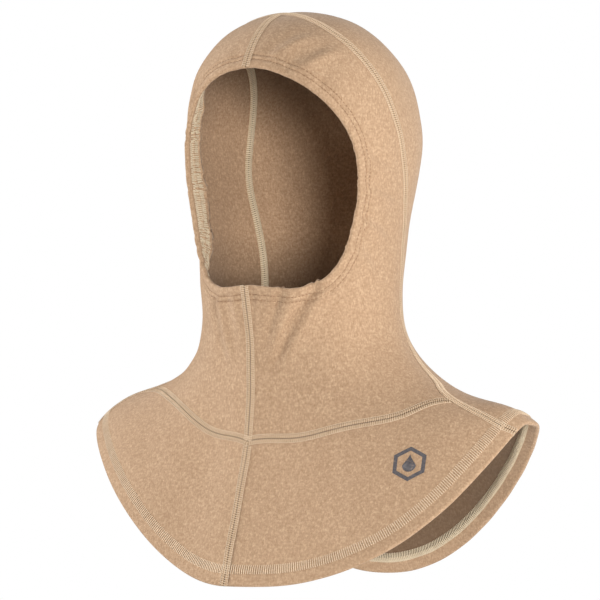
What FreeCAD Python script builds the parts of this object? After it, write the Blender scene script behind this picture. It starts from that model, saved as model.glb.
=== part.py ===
import FreeCAD, Part
import math
import os

from FreeCAD import Vector

# Balaclava: a close-fitting knitted hood with a cape that covers the neck and the tops of the shoulders.
#
# Frame: millimetres, +Z up, the wearer faces -Y and the wearer's left is +X.
# The origin is the top of the crown, where the hood rests on top of the head.
#
# The hood's outside is one smooth surface, "the skin". A place on the skin is a pair (a, b): the distance
# run down from the crown, from 0 at the top to 1 at the hem, laid off in the direction that is faced, so
# that (0, -1) is the hem at the front, (1, 0) the hem at the wearer's left and (0, 1) the hem at the back.

# Driving dimensions of the head and neck that the hood is cut for
HEAD_HALF_WIDTH = 84.0
HEAD_FRONT = 86.0
HEAD_BACK = 101.0
EYE_LEVEL = 108.0
JAW_LEVEL = 185.0
NECK_HALF_WIDTH = 74.0
NECK_FRONT = 70.0
NECK_BACK = 74.0
NECK_LEVEL = 236.0

# Driving dimensions of the cape
CAPE_HALF_WIDTH = 184.0
CAPE_FRONT = 104.0
CAPE_BACK = 122.0
HEM_LEVEL_FRONT = 419.0
HEM_LEVEL_SIDE = 302.0
HEM_LEVEL_BACK = 420.0
HEM_DIP = 2.5

# Fabric, elastic and thread
FABRIC = 1.5
HEM_TURN_UP = 13.0
FACE_TURN_IN = 11.0
ELASTIC_WIDTH = 9.4
ELASTIC_THICKNESS = 0.8
THREAD = 0.6
SEAM_WIDTH = 6.5
SEAM_GAP = 0.15
LINE_WIDTH = 1.0
FACE_LINES = (6.7, 10.4)
HEM_STITCH_START = 9.0
HEM_STITCH_WIDTH = 6.5
EDGE_THREAD_WIDTH = 1.2
FIT = 0.03

# Small pieces
MARK_SIZE = 27.0
MARK_THICKNESS = 0.15
# faces closer than this are sewn together
SEWING_REACH = 0.002
LABEL_WIDTH = 30.0
LABEL_HEIGHT = 36.0
LABEL_THICKNESS = 0.4

OUT = "parts"


# ---------------------------------------------------------------- the skin

def level(run, half_width, front, back, widest, front_z, side_z, back_z, squareness):
    """One level of the skin: its half width, its reach to the front and back, the Y of its widest
    place, its heights at the front, sides and back, and how square its front is."""
    sizes = Vector(half_width, -front, back)
    heights = Vector(-front_z, -side_z, -back_z)
    shape = Vector(widest, squareness, 0)
    return run, sizes, heights, shape


def head_level(run, width_share, front_share, back_share, depth, widest, squareness):
    """A level round the head lies flat, so it has one height."""
    return level(run, HEAD_HALF_WIDTH * width_share, HEAD_FRONT * front_share,
                 HEAD_BACK * back_share, widest, depth, depth, depth, squareness)


CAPE_DROP = HEM_LEVEL_FRONT - NECK_LEVEL
SHOULDER_DROP = HEM_LEVEL_SIDE - NECK_LEVEL
CAPE_FLARE = CAPE_HALF_WIDTH - NECK_HALF_WIDTH

LEVELS = [
    head_level(0.00, 0.001, 0.001, 0.001, 0.0, 0, 2.0),
    head_level(0.05, 0.30, 0.31, 0.26, 0.030 * EYE_LEVEL, -2, 2.0),
    head_level(0.10, 0.54, 0.56, 0.485, 0.111 * EYE_LEVEL, -3, 2.05),
    head_level(0.15, 0.73, 0.735, 0.685, 0.231 * EYE_LEVEL, -4, 2.1),
    head_level(0.21, 0.89, 0.885, 0.87, 0.417 * EYE_LEVEL, -3, 2.15),
    head_level(0.28, 0.99, 0.965, 1.0, 0.694 * EYE_LEVEL, -2, 2.2),
    head_level(0.36, 1.00, 1.00, 1.0, EYE_LEVEL, 0, 2.2),
    head_level(0.44, 0.94, 0.99, 0.87, 0.784 * JAW_LEVEL, 2, 2.2),
    head_level(0.52, 0.895, 0.94, 0.77, JAW_LEVEL, 2, 2.1),
    head_level(0.59, 0.88, 0.885, 0.72, 1.162 * JAW_LEVEL, 3, 2.0),
    level(0.65, NECK_HALF_WIDTH + 0.03 * CAPE_FLARE, NECK_FRONT, NECK_BACK, 4,
          NECK_LEVEL + 0.04 * CAPE_DROP, NECK_LEVEL, NECK_LEVEL + 0.01 * CAPE_DROP, 2.0),
    level(0.71, NECK_HALF_WIDTH + 0.13 * CAPE_FLARE, NECK_FRONT - 2, NECK_BACK + 8, 6,
          NECK_LEVEL + 0.21 * CAPE_DROP, NECK_LEVEL + 0.27 * SHOULDER_DROP,
          NECK_LEVEL + 0.15 * CAPE_DROP, 2.0),
    level(0.78, NECK_HALF_WIDTH + 0.35 * CAPE_FLARE, NECK_FRONT + 1, NECK_BACK + 19, 8,
          NECK_LEVEL + 0.42 * CAPE_DROP, NECK_LEVEL + 0.52 * SHOULDER_DROP,
          NECK_LEVEL + 0.34 * CAPE_DROP, 1.95),
    level(0.88, NECK_HALF_WIDTH + 0.75 * CAPE_FLARE, NECK_FRONT + 16, NECK_BACK + 34, 10,
          NECK_LEVEL + 0.70 * CAPE_DROP, NECK_LEVEL + 0.73 * SHOULDER_DROP,
          NECK_LEVEL + 0.66 * CAPE_DROP, 1.85),
    level(1.00, CAPE_HALF_WIDTH, CAPE_FRONT, CAPE_BACK, 13,
          HEM_LEVEL_FRONT, HEM_LEVEL_SIDE, HEM_LEVEL_BACK, 1.8),
]


def curve_of(points, stops):
    """A smooth curve that passes each point at its own stop."""
    curve = Part.BSplineCurve()
    curve.interpolate(Points=points, Parameters=stops)
    return curve


STOPS = [row[0] for row in LEVELS]
SIZES = curve_of([row[1] for row in LEVELS], STOPS)
HEIGHTS = curve_of([row[2] for row in LEVELS], STOPS)
SHAPES = curve_of([row[3] for row in LEVELS], STOPS)


def skin(a, b):
    """The point of the outside surface at the place (a, b)."""
    run = min(math.hypot(a, b), 1.0)
    angle = math.atan2(b, a)
    side = math.cos(angle)
    ahead = math.sin(angle)
    size = SIZES.value(run)
    height = HEIGHTS.value(run)
    shape = SHAPES.value(run)
    power = 2.0 / (shape.y if ahead < 0 else 2.0)
    reach = size.y if ahead < 0 else size.z
    end_height = height.x if ahead < 0 else height.z
    x = size.x * math.copysign(abs(side) ** power, side)
    y = shape.x + (reach - shape.x) * abs(ahead) ** power
    z = height.y + (end_height - height.y) * abs(ahead) ** HEM_DIP
    return Vector(x, y, z)


STEP = 0.0015


def slopes(a, b):
    """How the skin runs along a and along b, taken a little inside the hem."""
    inside = min(1.0, (1.0 - STEP) / max(math.hypot(a, b), STEP))
    a = a * inside
    b = b * inside
    along_a = (skin(a + STEP, b) - skin(a - STEP, b)) * (0.5 / STEP)
    along_b = (skin(a, b + STEP) - skin(a, b - STEP)) * (0.5 / STEP)
    return along_a, along_b


def outward(a, b):
    along_a, along_b = slopes(a, b)
    return along_a.cross(along_b).normalize()


def raised(a, b, lift):
    """The point above (or, with a negative lift, under) the outside surface."""
    return skin(a, b) + outward(a, b) * lift


def shift_on_skin(along_a, along_b, shift):
    """The change of (a, b) that moves a point of the skin by a small shift in space."""
    aa = along_a.dot(along_a)
    ab = along_a.dot(along_b)
    bb = along_b.dot(along_b)
    wa = along_a.dot(shift)
    wb = along_b.dot(shift)
    spread = aa * bb - ab * ab
    return Vector((wa * bb - wb * ab) / spread, (wb * aa - wa * ab) / spread, 0)


def beside(place, heading, distance):
    """The place that lies a distance to the left of the heading, measured on the skin."""
    along_a, along_b = slopes(place.x, place.y)
    run = along_a * heading.x + along_b * heading.y
    across = outward(place.x, place.y).cross(run).normalize()
    return place + shift_on_skin(along_a, along_b, across * distance)


# ---------------------------------------------------------------- the lines that the hood is cut along

def place(run, degrees):
    """A place on the skin from its run and its direction: -90 degrees is the front, 0 the left."""
    angle = math.radians(degrees)
    return Vector(run * math.cos(angle), run * math.sin(angle), 0)


def reflected(places):
    return [Vector(-p.x, p.y, 0) for p in reversed(places)]


def line_through(places, meets_start=False, meets_end=False):
    """A smooth line through places. Where it meets its own reflection at the middle plane, it
    crosses the plane squarely."""
    before = reflected(places[1:3]) if meets_start else []
    after = reflected(places[-3:-1]) if meets_end else []
    curve = Part.BSplineCurve()
    curve.interpolate(before + places + after)
    curve.segment(curve.parameter(places[0]), curve.parameter(places[-1]))
    return curve


TIP_RUN = 0.055
# the front's rows start this far in front of the seams' meeting point, the back's this far behind
FRONT_CLEARANCE = 0.003
BACK_CLEARANCE = 0.004
FACE_TOP_RUN = 0.213
FACE_BOTTOM_RUN = 0.565
NECK_SEAM_RUN = 0.787

TIP = place(TIP_RUN, -90)
JUNCTION = place(0.838, -11.5)
MARK_PLACE = place(0.885, -42)
LABEL_PLACE = place(0.74, 90)
CHEEK_PLACE = place(0.558, -47)
SIDE_SEAM_END = place(1.0, -13)

# The side seam runs from the crown's tip to the neck seam, and on to the hem
SIDE_SEAM = line_through([TIP, place(0.10, -42), place(0.15, -28), place(0.20, -17), place(0.26, -6.5),
                          place(0.33, 2.5), place(0.40, 10), place(0.48, 17), place(0.56, 21),
                          place(0.64, 21), place(0.72, 9), place(0.79, -5), JUNCTION,
                          place(0.91, -14), SIDE_SEAM_END])
# The neck seam joins the cape's front to the hood
NECK_SEAM = line_through([place(NECK_SEAM_RUN, -90), place(0.788, -72), place(0.798, -54),
                          place(0.818, -34), JUNCTION], meets_start=True)
# The edge of the face opening, from its top round the wearer's left cheek to the chin
FACE_EDGE = line_through([place(FACE_TOP_RUN, -90), place(0.225, -73), place(0.250, -57),
                          place(0.302, -39), place(0.365, -28.5), place(0.435, -25), place(0.490, -29),
                          place(0.530, -36), CHEEK_PLACE, place(0.570, -64),
                          place(FACE_BOTTOM_RUN, -90)], meets_start=True, meets_end=True)
HEM = line_through([place(1.0, angle) for angle in range(-90, 91, 15)], meets_start=True, meets_end=True)


def lengths_of(places):
    """The distance on the skin from the first place to each place."""
    points = [skin(p.x, p.y) for p in places]
    runs = [0.0]
    for here, there in zip(points, points[1:]):
        runs.append(runs[-1] + (there - here).Length)
    return runs


def at_distance(places, runs, distance):
    """The place at a distance along a row of places, in a straight line past either end."""
    k = 0
    while k < len(runs) - 2 and runs[k + 1] < distance:
        k += 1
    share = (distance - runs[k]) / (runs[k + 1] - runs[k])
    return places[k] + (places[k + 1] - places[k]) * share


FINE = 240


def spaced(curve, count, start=None, end=None):
    """Places at even distances on the skin, from one parameter of a line to another."""
    start = curve.FirstParameter if start is None else start
    end = curve.LastParameter if end is None else end
    fine = [curve.value(start + (end - start) * k / FINE) for k in range(FINE + 1)]
    runs = lengths_of(fine)
    return [at_distance(fine, runs, runs[-1] * step / count) for step in range(count + 1)]


def set_aside(places, distance):
    """A row of places moved to the left of the way it runs."""
    moved = []
    last = len(places) - 1
    for k, here in enumerate(places):
        heading = places[min(k + 1, last)] - places[max(k - 1, 0)]
        moved.append(beside(here, heading, distance))
    return moved


# ---------------------------------------------------------------- making solids

def row_curve(points):
    """A smooth curve through a row of points, with a stop at each."""
    return curve_of(points, [float(k) for k in range(len(points))])


def smooth_face(rows):
    """A smooth face through a grid of points. Faces that share a row of points share its edge."""
    across = [row_curve(row) for row in rows]
    along = [row_curve([curve.getPole(k + 1) for curve in across]) for k in range(across[0].NbPoles)]
    poles = [[curve.getPole(i + 1) for curve in along] for i in range(along[0].NbPoles)]
    surface = Part.BSplineSurface()
    surface.buildFromPolesMultsKnots(
        poles, along[0].getMultiplicities(), across[0].getMultiplicities(),
        along[0].getKnots(), across[0].getKnots(), False, False, along[0].Degree, across[0].Degree)
    return surface.toShape()


def closed_solid(faces):
    """Sews faces that meet edge to edge into one solid."""
    shape = Part.makeCompound(faces)
    shape.sewShape(SEWING_REACH)
    solid = Part.makeSolid(shape.Shells[0])
    if solid.Volume < 0:
        solid.reverse()
    return solid


def on_plane(points, x):
    """The same points, put exactly on the plane at one X."""
    return points if x is None else [Vector(x, point.y, point.z) for point in points]


def lifted(rows, lift, start_x=None, end_x=None):
    """The points over (or under) rows of places. lift gives the height at a row's and a place's
    number; start_x and end_x put the first and last row on a plane."""
    points = [[raised(p.x, p.y, lift(i, j)) for j, p in enumerate(row)] for i, row in enumerate(rows)]
    points[0] = on_plane(points[0], start_x)
    points[-1] = on_plane(points[-1], end_x)
    return points


def thick_sheet(rows, high, low, start_x=None, end_x=None, caps=(0, -1)):
    """The faces of a sheet that follows the skin between two lifts. caps tells which of its ends,
    the first row (0) and the last (-1), are closed."""
    upper = lifted(rows, high, start_x, end_x)
    lower = lifted(rows, low, start_x, end_x)
    faces = [smooth_face(upper), smooth_face(lower)]
    for side in (0, -1):
        faces.append(smooth_face([[down[side], up[side]] for down, up in zip(lower, upper)]))
    for end in caps:
        faces.append(smooth_face([lower[end], upper[end]]))
    return faces


def constant(value):
    return lambda i, j: value


def mirrored(shape):
    return shape.mirror(Vector(0, 0, 0), Vector(1, 0, 0))


def band_rows(places, near, far):
    """Rows across a band that lies from near to far on the left of a row of places."""
    edges = [set_aside(places, near + (far - near) * k / 2.0) for k in range(3)]
    return [list(row) for row in zip(*edges)]


def seam_strip(places, low, high):
    """A seam's thread: a strip laid on both sides of the seam line."""
    rows = band_rows(places, -SEAM_WIDTH / 2, SEAM_WIDTH / 2)
    return closed_solid(thick_sheet(rows, constant(high), constant(low)))


def ring(rows, low, high):
    """A closed band, given the rows across its half on the wearer's left."""
    half = thick_sheet(rows, constant(high), constant(low), 0.0, 0.0, ())
    return closed_solid(half + [mirrored(face) for face in half])


def save(name, shape):
    for solid in shape.Solids:
        if not solid.isValid() or solid.Volume <= 0:
            print("BAD SOLID in", name, solid.isValid(), solid.Volume)
    box = shape.BoundBox
    print("%-22s solids %d  volume %8.0f  x %.1f to %.1f  z %.1f to %.1f" % (
        name, len(shape.Solids), shape.Volume, box.XMin, box.XMax, box.ZMin, box.ZMax))
    shape.exportStep(os.path.join(OUT, name + ".step"))


def save_both_sides(name, ending, shape):
    save(name + "_left" + ending, shape)
    save(name + "_right" + ending, mirrored(shape))


# ---------------------------------------------------------------- the panels

JUNCTION_STOP = SIDE_SEAM.parameter(JUNCTION)
CHEEK_CORNER = FACE_EDGE.parameter(CHEEK_PLACE)
RIB_STEPS = 12
POCKET_WALL = 1.2
LIP_TOP = -(FABRIC + ELASTIC_THICKNESS)
LIP_BOTTOM = -(2 * FABRIC + ELASTIC_THICKNESS)
# the folded edge swells past the face's line by this much
FOLD_BULGE = 0.7
FINE_STEPS = 40


def straight_rows(starts, ends):
    """Fine straight rows of places, with their distances from the start, and how much longer than
    square across the edge each row is for the same step away from it."""
    rows = []
    last = len(starts) - 1
    for i, (start, end) in enumerate(zip(starts, ends)):
        places = [start + (end - start) * (k / FINE_STEPS) for k in range(FINE_STEPS + 1)]
        near = skin(start.x, start.y)
        before = starts[max(i - 1, 0)]
        after = starts[min(i + 1, last)]
        edge = (skin(after.x, after.y) - skin(before.x, before.y)).normalize()
        away = (skin(places[2].x, places[2].y) - near).normalize()
        slant = 1.0 / math.sqrt(1.0 - edge.dot(away) ** 2)
        rows.append((places, lengths_of(places), slant))
    return rows


def swept(rows, nodes, first_x=None, last_x=None):
    """Points swept along the rows. A node is a share of the row's length, a distance square across
    the edge to add to it, and a lift."""
    points = []
    for places, runs, slant in rows:
        spots = [at_distance(places, runs, runs[-1] * share + extra * slant) for share, extra, lift in nodes]
        points.append([raised(spot.x, spot.y, node[2]) for spot, node in zip(spots, nodes)])
    points[0] = on_plane(points[0], first_x)
    points[-1] = on_plane(points[-1], last_x)
    return points


def folded_section():
    """The section of the hood's front, as sides that close up: the outside, the fold at the face,
    the turned-in lip, the pocket for the elastic, the inside and the sewn edge."""
    steps = [k / RIB_STEPS for k in range(RIB_STEPS + 1)]
    thirds = [k / 3 for k in range(4)]
    pocket = FACE_TURN_IN - POCKET_WALL
    outside = [(share, 0, 0.0) for share in steps]
    fold = [(0, 0, 0.0), (0, -FOLD_BULGE, LIP_BOTTOM / 2), (0, 0, LIP_BOTTOM)]
    lip_under = [(0, FACE_TURN_IN * share, LIP_BOTTOM) for share in thirds]
    lip_end = [(0, FACE_TURN_IN, LIP_BOTTOM), (0, FACE_TURN_IN, LIP_TOP)]
    lip_over = [(0, FACE_TURN_IN - pocket * share, LIP_TOP) for share in thirds]
    pocket_end = [(0, POCKET_WALL, LIP_TOP), (0, POCKET_WALL, -FABRIC)]
    inside = [(share, POCKET_WALL * (1 - share), -FABRIC) for share in steps]
    sewn_edge = [(1, 0, -FABRIC), (1, 0, 0.0)]
    return [outside, fold, lip_under, lip_end, lip_over, pocket_end, inside, sewn_edge]


CHEEK_ROWS = 26
CHIN_ROWS = 12


def front_rows():
    """Rows from the face edge to the sewn edges, in two parts that meet at the corner where the side
    seam reaches the neck seam: those to the side seam and those to the neck seam."""
    cheek = spaced(FACE_EDGE, CHEEK_ROWS, FACE_EDGE.FirstParameter, CHEEK_CORNER)
    chin = spaced(FACE_EDGE, CHIN_ROWS, CHEEK_CORNER, FACE_EDGE.LastParameter)
    side = set_aside(spaced(SIDE_SEAM, CHEEK_ROWS, SIDE_SEAM.FirstParameter, JUNCTION_STOP), -SEAM_GAP)
    neck = set_aside(spaced(NECK_SEAM, CHIN_ROWS), SEAM_GAP)[::-1]
    side[0] = place(TIP_RUN + FRONT_CLEARANCE, -90)
    rows = straight_rows(cheek + chin[1:], side + neck[1:])
    return rows[:CHEEK_ROWS + 1], rows[CHEEK_ROWS:]


def front_panel():
    """Half of the hood's front, from the crown round the cheek to the chin."""
    upper, lower = front_rows()
    faces = []
    crown_edges = []
    chin_edges = []
    for nodes in folded_section():
        above = swept(upper, nodes, SEAM_GAP, None)
        below = swept(lower, nodes, None, SEAM_GAP)
        faces += [smooth_face(above), smooth_face(below)]
        crown_edges.append(row_curve(above[0]).toShape())
        chin_edges.append(row_curve(below[-1]).toShape())
    for edges in (crown_edges, chin_edges):
        faces.append(Part.Face(Part.Wire(Part.__sortEdges__(edges))))
    return closed_solid(faces)


def smooth_step(share):
    """0 at a share of 0 and less, 1 at 1 and more, and smooth between."""
    share = min(max(share, 0.0), 1.0)
    return share * share * (3 - 2 * share)


HEM_EDGE_BLEND = 4.0


def hem_depth(distance):
    """How far the inside lies under the outside: two layers where the hem is turned up."""
    return -FABRIC * (1.0 + smooth_step((HEM_TURN_UP - distance) / HEM_EDGE_BLEND + 0.5))


BIB_ROWS = 30
BIB_STEPS = 20
BIB_FINE = 60


def bib_panel():
    """Half of the cape's front, from the hem up to the neck seam."""
    side = set_aside(spaced(SIDE_SEAM, BIB_FINE, JUNCTION_STOP, SIDE_SEAM.LastParameter), -SEAM_GAP)[::-1]
    hem = spaced(HEM, BIB_ROWS, HEM.FirstParameter, HEM.parameter(SIDE_SEAM_END))
    neck = set_aside(spaced(NECK_SEAM, BIB_ROWS), -SEAM_GAP)
    hem[-1] = side[0]
    neck[-1] = side[-1]
    rows = []
    for i in range(BIB_ROWS + 1):
        pull = (i / BIB_ROWS) ** 2
        fine = []
        for k in range(BIB_FINE + 1):
            straight = hem[i] + (neck[i] - hem[i]) * (k / BIB_FINE)
            chord = side[0] + (side[-1] - side[0]) * (k / BIB_FINE)
            fine.append(straight + (side[k] - chord) * pull)
        runs = lengths_of(fine)
        distances = [runs[-1] * k / BIB_STEPS for k in range(BIB_STEPS + 1)]
        rows.append([(at_distance(fine, runs, distance), distance) for distance in distances])
    places = [[spot for spot, distance in row] for row in rows]
    return closed_solid(thick_sheet(places, constant(0.0), lambda i, j: hem_depth(rows[i][j][1]), SEAM_GAP))


BACK_ROWS = 64
BACK_STEPS = 48
# the first row crosses a little behind the crown's tip, as a shallow arch
BACK_START = place(0.058, -84)
ARCH_AT_TIP = math.radians(35)
WIDEST_ARCH = math.radians(104)
ARCH_SETTLES = 0.4


def back_panel():
    """The back in one piece: from the crown's tip over the head and down to the hem at the back."""
    start = SIDE_SEAM.parameter(BACK_START)
    side = set_aside(spaced(SIDE_SEAM, BACK_ROWS, start, SIDE_SEAM.LastParameter), SEAM_GAP)
    middle_line = line_through([Vector(0, BACK_CLEARANCE - TIP_RUN, 0), Vector(0, 0.4, 0), Vector(0, 1, 0)])
    middle = spaced(middle_line, BACK_ROWS)
    middle_runs = lengths_of(middle)
    rows = []
    for i in range(BACK_ROWS + 1):
        around = min(math.atan2(side[i].x, side[i].y), WIDEST_ARCH)
        half = ARCH_AT_TIP + (around - ARCH_AT_TIP) * smooth_step(i / BACK_ROWS / ARCH_SETTLES)
        row = []
        for j in range(BACK_STEPS + 1):
            turn = half * (1 - 2.0 * j / BACK_STEPS)
            bow = (math.cos(turn) - math.cos(half)) / (1 - math.cos(half))
            row.append(Vector(side[i].x * math.sin(turn) / math.sin(half),
                              side[i].y + (middle[i].y - side[i].y) * bow, 0))
        rows.append(row)

    def depth(i, j):
        return hem_depth(middle_runs[-1] - middle_runs[i])
    return closed_solid(thick_sheet(rows, constant(0.0), depth))


# ---------------------------------------------------------------- elastic, threads and small pieces

def shortened(places, start, end):
    """A row of places without a length at its start and at its end, spaced evenly again."""
    runs = lengths_of(places)
    first = start
    last = runs[-1] - end
    count = len(places) - 1
    return [at_distance(places, runs, first + (last - first) * k / count) for k in range(count + 1)]


def centre_line(start_run, end_run, count):
    """Places down the middle of the front."""
    line = [Vector(0, -(start_run + (end_run - start_run) * k / FINE), 0) for k in range(FINE + 1)]
    runs = lengths_of(line)
    return [at_distance(line, runs, runs[-1] * k / count) for k in range(count + 1)]


COVER_GAP = 0.4
END_GAP = 2.0
CENTRE_STEPS = 16
NECK_STEPS = 40
SIDE_STEPS = 110
HEM_STEPS = 96
COVER = (FIT, THREAD)
LOOPER = (-FABRIC - THREAD, -FABRIC - FIT)
CLEAR = SEAM_WIDTH / 2 + COVER_GAP
FACE_LINES_END = FACE_LINES[1] + LINE_WIDTH / 2 + COVER_GAP
FACE_LIP_END = FACE_TURN_IN + EDGE_THREAD_WIDTH + COVER_GAP
HEM_LADDER_END = HEM_STITCH_START + HEM_STITCH_WIDTH + END_GAP + COVER_GAP
HEM_FOLD_END = HEM_TURN_UP + END_GAP + 1.0


def centre_seam(name, start_run, end_run, cover_cuts, looper_cuts):
    """A flat seam down the middle of the front. The cuts are the lengths left off at its two ends."""
    line = centre_line(start_run, end_run, CENTRE_STEPS)
    save(name + "_cover", seam_strip(shortened(line, *cover_cuts), *COVER))
    save(name + "_looper", seam_strip(shortened(line, *looper_cuts), *LOOPER))


def seams():
    """The six flat seams: the cover outside and the loopers inside. Each stops where it is crossed."""
    centre_seam("crown_seam", TIP_RUN, FACE_TOP_RUN, (CLEAR, FACE_LINES_END), (CLEAR, FACE_LIP_END))
    centre_seam("chin_seam", FACE_BOTTOM_RUN, NECK_SEAM_RUN, (FACE_LINES_END, CLEAR), (FACE_LIP_END, CLEAR))
    centre_seam("bib_seam", NECK_SEAM_RUN, 1.0, (CLEAR, HEM_LADDER_END), (CLEAR, HEM_FOLD_END))
    side = spaced(SIDE_SEAM, SIDE_STEPS)
    save_both_sides("side_seam", "_cover", seam_strip(shortened(side, END_GAP, HEM_LADDER_END), *COVER))
    save_both_sides("side_seam", "_looper", seam_strip(shortened(side, END_GAP, HEM_FOLD_END), *LOOPER))
    neck = shortened(spaced(NECK_SEAM, NECK_STEPS), 0.0, CLEAR + 1.0)
    rows = band_rows(neck, -SEAM_WIDTH / 2, SEAM_WIDTH / 2)
    for thread, (low, high) in (("cover", COVER), ("looper", LOOPER)):
        half = thick_sheet(rows, constant(high), constant(low), 0.0, None, (-1,))
        save("neck_seam_" + thread, closed_solid(half + [mirrored(face) for face in half]))


def face_ring(near, far, low, high):
    """A band round the face opening, between two distances from its edge."""
    upper, lower = front_rows()
    middle = (near + far) / 2
    places = []
    for row, runs, slant in upper + lower[1:]:
        places.append([at_distance(row, runs, distance * slant) for distance in (near, middle, far)])
    return ring(places, low, high)


def face_edge():
    """The elastic in the turned-in edge, and the threads that hold the edge down."""
    start = POCKET_WALL + FIT
    save("face_elastic", face_ring(start, start + ELASTIC_WIDTH, LIP_TOP + FIT, -FABRIC - FIT))
    half = LINE_WIDTH / 2
    lines = [face_ring(middle - half, middle + half, *COVER) for middle in FACE_LINES]
    save("face_cover_stitch", Part.makeCompound(lines))
    under = LIP_BOTTOM - FIT
    save("face_looper_stitch", face_ring(FACE_LINES[0] - 1.5, FACE_TURN_IN - 0.2, under - THREAD, under))
    outer = FACE_TURN_IN + 5 * FIT
    save("face_edge_thread", face_ring(outer, outer + EDGE_THREAD_WIDTH, LIP_BOTTOM, -FABRIC - 2 * FIT))


def hem_stitches():
    """The hem's coverstitch, which shows a ladder of thread on both sides of the cape."""
    rows = band_rows(spaced(HEM, HEM_STEPS), HEM_STITCH_START, HEM_STITCH_START + HEM_STITCH_WIDTH)
    save("hem_cover_stitch", ring(rows, *COVER))
    under = -2 * FABRIC - 4 * FIT
    save("hem_looper_stitch", ring(rows, under - THREAD, under))


PATCH_STEPS = 8


def patch(centre, width, height, high, low):
    """A small rectangular sheet laid on the skin, upright, round a place."""
    along_a, along_b = slopes(centre.x, centre.y)
    normal = outward(centre.x, centre.y)
    level_way = Vector(0, 0, 1).cross(normal).normalize()
    rise = normal.cross(level_way)
    rows = []
    for i in range(PATCH_STEPS + 1):
        row = []
        for k in range(PATCH_STEPS + 1):
            shift = (level_way * (width * (i / PATCH_STEPS - 0.5))
                     + rise * (height * (k / PATCH_STEPS - 0.5)))
            row.append(centre + shift_on_skin(along_a, along_b, shift))
        rows.append(row)
    return closed_solid(thick_sheet(rows, constant(high), constant(low)))


def main():
    os.makedirs(OUT, exist_ok=True)
    save_both_sides("front_panel", "", front_panel())
    save("back_panel", back_panel())
    save_both_sides("bib_panel", "", bib_panel())
    seams()
    face_edge()
    hem_stitches()
    save("print_mark", patch(MARK_PLACE, MARK_SIZE, MARK_SIZE, FIT + MARK_THICKNESS, FIT))
    inside = -FABRIC - FIT
    save("care_label", patch(LABEL_PLACE, LABEL_WIDTH, LABEL_HEIGHT, inside, inside - LABEL_THICKNESS))


main()
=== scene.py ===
import math

import bmesh
import bpy
import numpy as np
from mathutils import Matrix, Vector


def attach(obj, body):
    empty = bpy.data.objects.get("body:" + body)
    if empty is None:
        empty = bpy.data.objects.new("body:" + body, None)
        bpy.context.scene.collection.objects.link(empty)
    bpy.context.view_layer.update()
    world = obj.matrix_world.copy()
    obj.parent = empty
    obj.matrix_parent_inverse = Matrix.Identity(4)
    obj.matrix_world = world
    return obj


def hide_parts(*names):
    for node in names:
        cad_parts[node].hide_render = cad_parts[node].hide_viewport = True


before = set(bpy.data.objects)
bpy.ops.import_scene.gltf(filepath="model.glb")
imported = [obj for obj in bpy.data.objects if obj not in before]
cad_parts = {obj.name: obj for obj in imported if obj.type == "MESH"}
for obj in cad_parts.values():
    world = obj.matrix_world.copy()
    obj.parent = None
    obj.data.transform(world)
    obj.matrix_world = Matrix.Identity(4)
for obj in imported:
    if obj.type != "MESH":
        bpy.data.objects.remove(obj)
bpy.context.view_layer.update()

MM = 0.001

# ---------------------------------------------------------------- sizes, in metres
EYE = 0.108
JAW = 0.185
HEAD_HALF_WIDTH = 0.084
HEAD_FRONT = 0.086
HEAD_BACK = 0.101
# how the cape's lower edge drops between side and front, and on the fuller left front
DROP_POWER = 2.5
FULL_DROP_POWER = 1.2
FULL_SQUARENESS = 2.5
FULLER_FROM = 0.70
FULLER_AT = 0.97
LOW_SHOULDER = 0.006


def head_level(run, width, front, back, depth, widest, squareness):
    """One level round the head, from shares of the head's own sizes."""
    return (run, width * HEAD_HALF_WIDTH, front * HEAD_FRONT, back * HEAD_BACK, widest,
            depth, depth, depth, squareness)


# run, half width, reach to the front, reach to the back, Y of the widest point,
# depth below the crown at the front, side and back, and how square the front is
LEVELS = np.array([
    head_level(0.00, 0.001, 0.001, 0.001, 0.0, 0.000, 2.0),
    head_level(0.05, 0.30, 0.31, 0.26, 0.030 * EYE, -0.002, 2.0),
    head_level(0.10, 0.54, 0.56, 0.485, 0.111 * EYE, -0.003, 2.05),
    head_level(0.15, 0.73, 0.735, 0.685, 0.231 * EYE, -0.004, 2.1),
    head_level(0.21, 0.89, 0.885, 0.87, 0.417 * EYE, -0.003, 2.15),
    head_level(0.28, 0.99, 0.965, 1.0, 0.694 * EYE, -0.002, 2.2),
    head_level(0.36, 1.0, 1.0, 1.0, EYE, 0.000, 2.2),
    head_level(0.44, 0.94, 0.99, 0.87, 0.784 * JAW, 0.002, 2.2),
    head_level(0.52, 0.895, 0.94, 0.77, JAW, 0.002, 2.1),
    head_level(0.59, 0.88, 0.885, 0.72, 1.162 * JAW, 0.003, 2.0),
    (0.65, 0.0773, 0.070, 0.074, 0.004, 0.2433, 0.2360, 0.2378, 2.0),
    (0.71, 0.0883, 0.068, 0.082, 0.006, 0.2744, 0.2538, 0.2635, 2.0),
    (0.78, 0.1125, 0.071, 0.093, 0.008, 0.3129, 0.2703, 0.2982, 1.95),
    (0.88, 0.1565, 0.086, 0.108, 0.010, 0.3641, 0.2842, 0.3568, 1.85),
    (1.00, 0.1840, 0.104, 0.122, 0.013, 0.4190, 0.3020, 0.4200, 1.8),
])


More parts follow.
